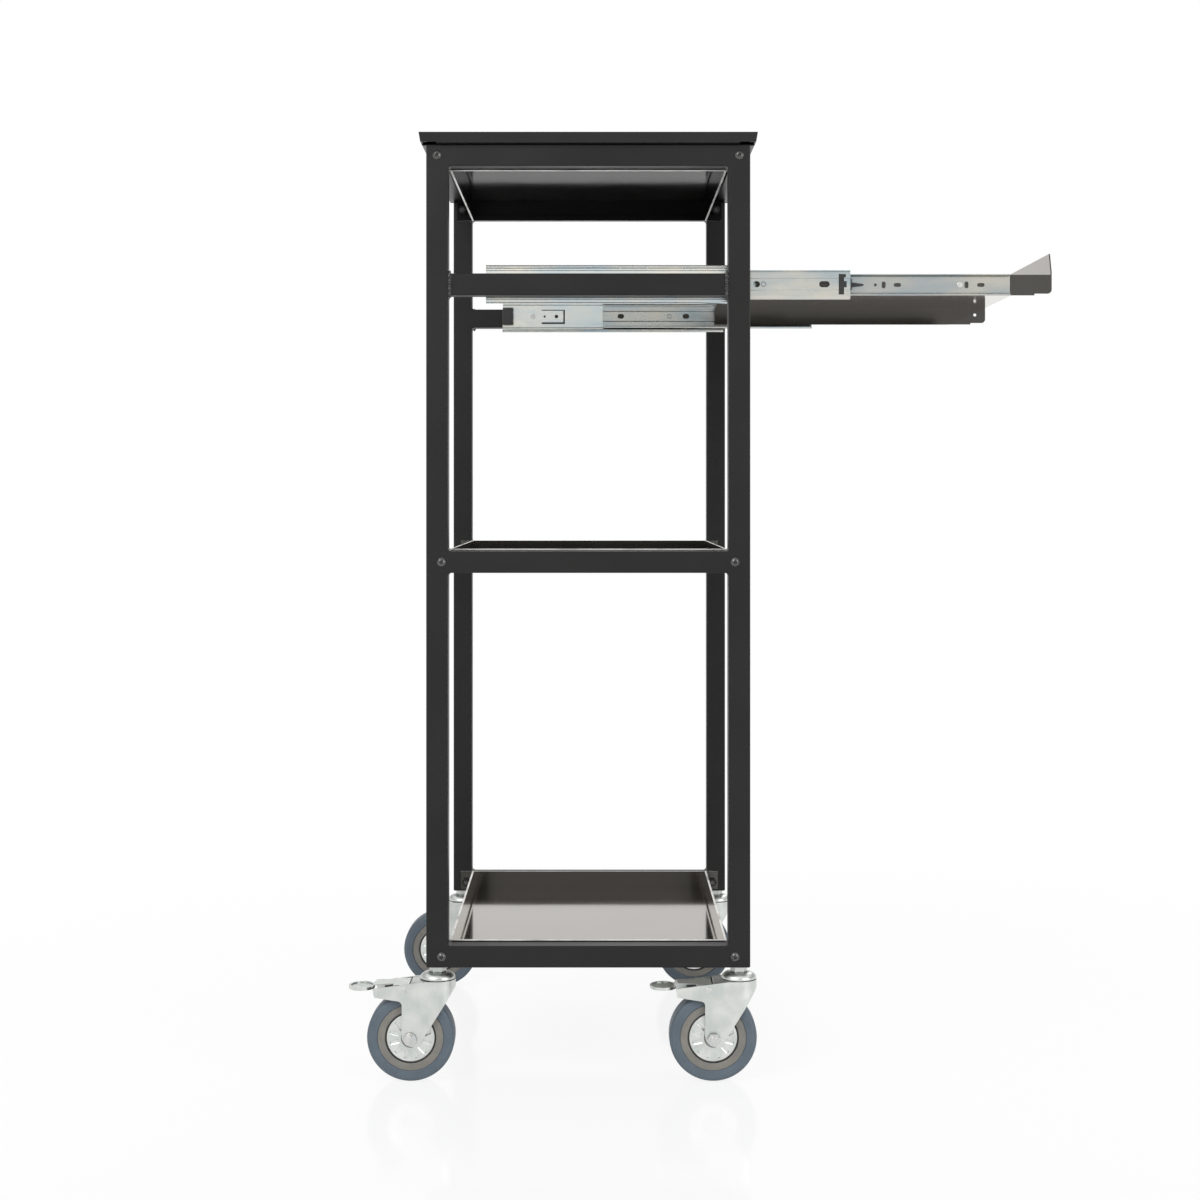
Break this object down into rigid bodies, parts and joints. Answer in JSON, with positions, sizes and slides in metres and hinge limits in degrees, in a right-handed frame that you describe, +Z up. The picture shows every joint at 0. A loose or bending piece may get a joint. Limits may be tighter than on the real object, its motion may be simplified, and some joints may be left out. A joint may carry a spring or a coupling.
{
  "type": "laptop cart",
  "caption": "Rolling steel cart with folded shelf pans between square-tube side frames, a worktop, a pull-out tray on ball-bearing slides and swivel casters with foot brakes.",
  "frame": {"origin": "middle of the whole part's footprint box, on the floor under the wheels", "axes": "+X towards the front, where the tray pulls out; +Y from the left side, which has the braked casters, to the right; +Z up"},
  "size_m": [0.8112, 0.53, 1.0815],
  "materials": {
    "frame_black": "satin black powder coat",
    "sheet_black": "gloss black enamel",
    "screw_steel": "blackened",
    "black_plastic": "matte moulded",
    "grey_tyre": "satin non-marking rubber",
    "grey_core": "matte moulded",
    "ball_steel": "polished",
    "plain_steel": "zinc plated",
    "slide_zinc": "blue zinc plated",
    "caster_zinc": "zinc plated"
  },
  "bodies": {
    "cart": {"left_posts": "frame_black", "left_rails": "frame_black", "right_posts": "frame_black", "right_rails": "frame_black", "worktop": "sheet_black", "worktop_channels": "frame_black", "top_pan": "sheet_black", "middle_shelf": "sheet_black", "bottom_shelf": "sheet_black", "frame_screws": "screw_steel", "weld_nuts": "sheet_black", "post_inserts": "plain_steel", "caster_stems": "caster_zinc", "swivel_cups": "caster_zinc", "swivel_balls": "ball_steel", "left_outer_rail": "slide_zinc", "right_outer_rail": "slide_zinc", "slide_bumpers": "black_plastic", "slide_rivets": "plain_steel"},
    "left_middle_slide": {"left_middle_rail": "slide_zinc", "left_front_stop": "black_plastic"},
    "right_middle_slide": {"right_middle_rail": "slide_zinc", "right_front_stop": "black_plastic"},
    "left_outer_cage_body": {"left_outer_cage": "screw_steel"},
    "right_outer_cage_body": {"right_outer_cage": "screw_steel"},
    "left_inner_cage_body": {"left_inner_cage": "screw_steel"},
    "right_inner_cage_body": {"right_inner_cage": "screw_steel"},
    "tray": {"tray": "sheet_black", "left_inner_rail": "slide_zinc", "right_inner_rail": "slide_zinc", "tray_rivets": "plain_steel"},
    "left_release_lever_body": {"left_release_lever": "black_plastic"},
    "right_release_lever_body": {"right_release_lever": "black_plastic"},
    "left_rear_fork": {"left_rear_fork": "caster_zinc", "left_rear_axle": "plain_steel", "left_rear_pedal_pin": "plain_steel"},
    "left_rear_wheel": {"left_rear_core": "grey_core", "left_rear_discs": "caster_zinc", "left_rear_tyre": "grey_tyre"},
    "left_front_fork": {"left_front_fork": "caster_zinc", "left_front_axle": "plain_steel", "left_front_pedal_pin": "plain_steel"},
    "left_front_wheel": {"left_front_core": "grey_core", "left_front_discs": "caster_zinc", "left_front_tyre": "grey_tyre"},
    "right_rear_fork": {"right_rear_fork": "caster_zinc", "right_rear_axle": "plain_steel"},
    "right_rear_wheel": {"right_rear_core": "grey_core", "right_rear_discs": "caster_zinc", "right_rear_tyre": "grey_tyre"},
    "right_front_fork": {"right_front_fork": "caster_zinc", "right_front_axle": "plain_steel"},
    "right_front_wheel": {"right_front_core": "grey_core", "right_front_discs": "caster_zinc", "right_front_tyre": "grey_tyre"},
    "left_rear_brake_pedal": {"left_rear_pedal": "caster_zinc", "left_rear_brake_shoe": "black_plastic"},
    "left_front_brake_pedal": {"left_front_pedal": "caster_zinc", "left_front_brake_shoe": "black_plastic"}
  },
  "joints": [
    {"name": "tray_slide", "type": "slide", "parent": "cart", "child": "tray", "axis": [1, 0, 0], "range_m": [-0.304, 0]},
    {"name": "left_middle_slide", "type": "slide", "parent": "cart", "child": "left_middle_slide", "axis": [1, 0, 0], "range_m": [-0.12038, 0]},
    {"name": "left_outer_cage_roll", "type": "slide", "parent": "cart", "child": "left_outer_cage_body", "axis": [1, 0, 0], "range_m": [-0.06019, 0]},
    {"name": "left_inner_cage_roll", "type": "slide", "parent": "cart", "child": "left_inner_cage_body", "axis": [1, 0, 0], "range_m": [-0.21219, 0]},
    {"name": "left_lever_tilt", "type": "hinge", "parent": "tray", "child": "left_release_lever_body", "pos_m": [0.12585, -0.217, 0.9117], "axis": [0, 1, 0], "range_deg": [-4, 4], "stiffness_Nm_per_rad": 0.05},
    {"name": "right_middle_slide", "type": "slide", "parent": "cart", "child": "right_middle_slide", "axis": [1, 0, 0], "range_m": [-0.12038, 0]},
    {"name": "right_outer_cage_roll", "type": "slide", "parent": "cart", "child": "right_outer_cage_body", "axis": [1, 0, 0], "range_m": [-0.06019, 0]},
    {"name": "right_inner_cage_roll", "type": "slide", "parent": "cart", "child": "right_inner_cage_body", "axis": [1, 0, 0], "range_m": [-0.21219, 0]},
    {"name": "right_lever_tilt", "type": "hinge", "parent": "tray", "child": "right_release_lever_body", "pos_m": [0.12585, 0.217, 0.9117], "axis": [0, 1, 0], "range_deg": [-4, 4], "stiffness_Nm_per_rad": 0.05},
    {"name": "left_rear_swivel", "type": "hinge", "parent": "cart", "child": "left_rear_fork", "pos_m": [-0.30365, -0.2375, 0.113], "axis": [0, 0, 1], "continuous": true},
    {"name": "left_rear_wheel_spin", "type": "hinge", "parent": "left_rear_fork", "child": "left_rear_wheel", "pos_m": [-0.33365, -0.2375, 0.05], "axis": [0, 1, 0], "continuous": true},
    {"name": "left_rear_brake_tilt", "type": "hinge", "parent": "left_rear_fork", "child": "left_rear_brake_pedal", "pos_m": [-0.33915, -0.2375, 0.1048], "axis": [0, -1, 0], "range_deg": [0, 12]},
    {"name": "left_front_swivel", "type": "hinge", "parent": "cart", "child": "left_front_fork", "pos_m": [0.04135, -0.2375, 0.113], "axis": [0, 0, 1], "continuous": true},
    {"name": "left_front_wheel_spin", "type": "hinge", "parent": "left_front_fork", "child": "left_front_wheel", "pos_m": [0.01135, -0.2375, 0.05], "axis": [0, 1, 0], "continuous": true},
    {"name": "left_front_brake_tilt", "type": "hinge", "parent": "left_front_fork", "child": "left_front_brake_pedal", "pos_m": [0.00585, -0.2375, 0.1048], "axis": [0, -1, 0], "range_deg": [0, 12]},
    {"name": "right_rear_swivel", "type": "hinge", "parent": "cart", "child": "right_rear_fork", "pos_m": [-0.30365, 0.2375, 0.113], "axis": [0, 0, 1], "continuous": true},
    {"name": "right_rear_wheel_spin", "type": "hinge", "parent": "right_rear_fork", "child": "right_rear_wheel", "pos_m": [-0.33365, 0.2375, 0.05], "axis": [0, 1, 0], "continuous": true},
    {"name": "right_front_swivel", "type": "hinge", "parent": "cart", "child": "right_front_fork", "pos_m": [0.04135, 0.2375, 0.113], "axis": [0, 0, 1], "continuous": true},
    {"name": "right_front_wheel_spin", "type": "hinge", "parent": "right_front_fork", "child": "right_front_wheel", "pos_m": [0.01135, 0.2375, 0.05], "axis": [0, 1, 0], "continuous": true}
  ],
  "couplings": [
    {"joint": "left_middle_slide", "follows": "tray_slide", "ratio": 0.396},
    {"joint": "left_outer_cage_roll", "follows": "tray_slide", "ratio": 0.198},
    {"joint": "left_inner_cage_roll", "follows": "tray_slide", "ratio": 0.698},
    {"joint": "right_middle_slide", "follows": "tray_slide", "ratio": 0.396},
    {"joint": "right_outer_cage_roll", "follows": "tray_slide", "ratio": 0.198},
    {"joint": "right_inner_cage_roll", "follows": "tray_slide", "ratio": 0.698}
  ]
}
